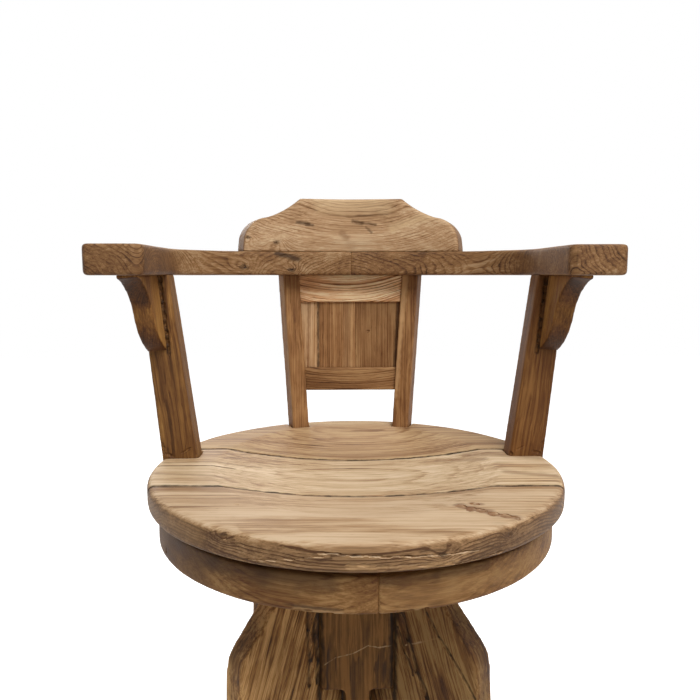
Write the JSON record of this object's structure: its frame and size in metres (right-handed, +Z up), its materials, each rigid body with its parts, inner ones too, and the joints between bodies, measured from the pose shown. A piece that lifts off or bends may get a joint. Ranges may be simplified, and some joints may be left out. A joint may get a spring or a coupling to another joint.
{
  "type": "swivel bar chair",
  "caption": "Tall solid wood bar chair: a dished round seat with bow arms, a shaped crest and a panelled back turns on a drum over slab legs joined by foot rails.",
  "frame": {"origin": "on the floor, on the axis about which the seat turns", "axes": "+Z up, the sitter faces -Y, +X is on the right seen from the front"},
  "size_m": [0.599, 0.5, 1.103],
  "materials": {
    "teak": "solid teak with a thin satin oil",
    "seat_teak": "solid teak with a thin satin oil, paler where it is dished",
    "dark_teak": "solid teak with a thin satin oil, darker and strongly striped",
    "plain_teak": "sawn teak, without oil",
    "sapwood": "pale teak sapwood with a thin satin oil",
    "dowel_wood": "plain hardwood dowel",
    "plate_steel": "zinc plated pressed steel",
    "fixing_steel": "bright zinc plated steel",
    "glide_plastic": "brown plastic glides"
  },
  "bodies": {
    "base": {"ball_cage": "fixing_steel", "deck_board_front": "plain_teak", "deck_board_middle": "plain_teak", "deck_board_rear": "plain_teak", "deck_dowels": "dowel_wood", "deck_screws": "fixing_steel", "drum_dowels": "dowel_wood", "drum_segment_1": "dark_teak", "drum_segment_2": "dark_teak", "drum_segment_3": "dark_teak", "drum_segment_4": "dark_teak", "foot_glides": "glide_plastic", "foot_rail_back": "dark_teak", "foot_rail_dowels": "dowel_wood", "foot_rail_front": "dark_teak", "foot_rail_left": "dark_teak", "foot_rail_right": "dark_teak", "hub": "dark_teak", "leg_back_left": "dark_teak", "leg_back_right": "dark_teak", "leg_dowels": "dowel_wood", "leg_front_left": "dark_teak", "leg_front_right": "dark_teak", "lower_plate_screws": "fixing_steel", "swivel_balls": "fixing_steel", "swivel_lower_plate": "plate_steel"},
    "seat": {"arm_corbel_left": "teak", "arm_corbel_right": "teak", "arm_post_left": "teak", "arm_post_right": "teak", "arm_rail_left": "teak", "arm_rail_right": "teak", "back_bottom_rail": "teak", "back_frame_dowels": "dowel_wood", "back_panel_left": "sapwood", "back_panel_middle": "teak", "back_panel_right": "teak", "back_post_left": "teak", "back_post_right": "teak", "back_top_rail": "teak", "batten_screws": "fixing_steel", "bow_joint_dowels": "dowel_wood", "corbel_dowels": "dowel_wood", "crest": "teak", "crest_dowels": "dowel_wood", "post_foot_dowels": "dowel_wood", "post_head_dowels": "dowel_wood", "seat_batten_left": "plain_teak", "seat_batten_right": "plain_teak", "seat_plank_dowels": "dowel_wood", "seat_plank_front": "seat_teak", "seat_plank_middle": "seat_teak", "seat_plank_rear": "seat_teak", "swivel_nut": "fixing_steel", "swivel_stud": "fixing_steel", "swivel_upper_plate": "plate_steel", "swivel_washer": "fixing_steel", "upper_plate_screws": "fixing_steel"}
  },
  "joints": [
    {"name": "seat_swivel", "type": "hinge", "parent": "base", "child": "seat", "pos_m": [0, 0, 0.72], "axis": [0, 0, 1], "continuous": true}
  ]
}
